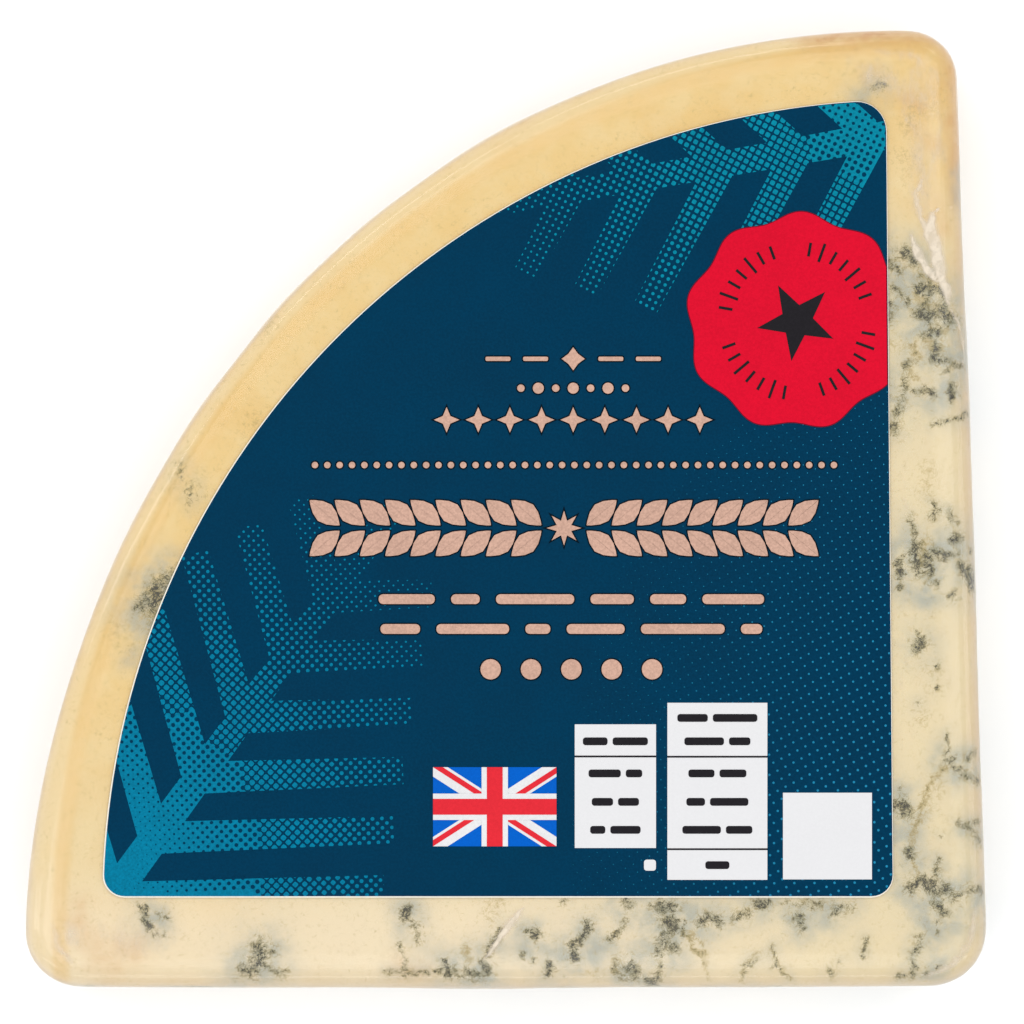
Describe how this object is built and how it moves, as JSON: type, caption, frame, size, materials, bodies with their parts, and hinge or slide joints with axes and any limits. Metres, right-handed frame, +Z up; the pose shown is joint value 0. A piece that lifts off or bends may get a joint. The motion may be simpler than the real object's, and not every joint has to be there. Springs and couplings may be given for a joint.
{
  "type": "stilton wedge",
  "caption": "Quarter-round slice of creamy blue cheese in tight clear film, lying flat, with a printed quarter-round paper label on its upper face.",
  "frame": {"origin": "middle of the bounding box, on the surface that the slice lies on", "axes": "+Z up out of the labelled face, +X out of the leaning cut face, -Y out of the front cut face, the rim towards -X and +Y"},
  "size_m": [0.1058, 0.1056, 0.0242],
  "materials": {
    "cheese": "moist creamy paste with grey-green veins",
    "film": "thin clear glossy shrink film",
    "label_paper": "satin printed paper, dark blue",
    "label_print": "satin ink on the label, in copper, teal, red and white"
  },
  "bodies": {
    "root": {"wrapped_wedge": "cheese", "label": "label_paper"}
  },
  "joints": []
}
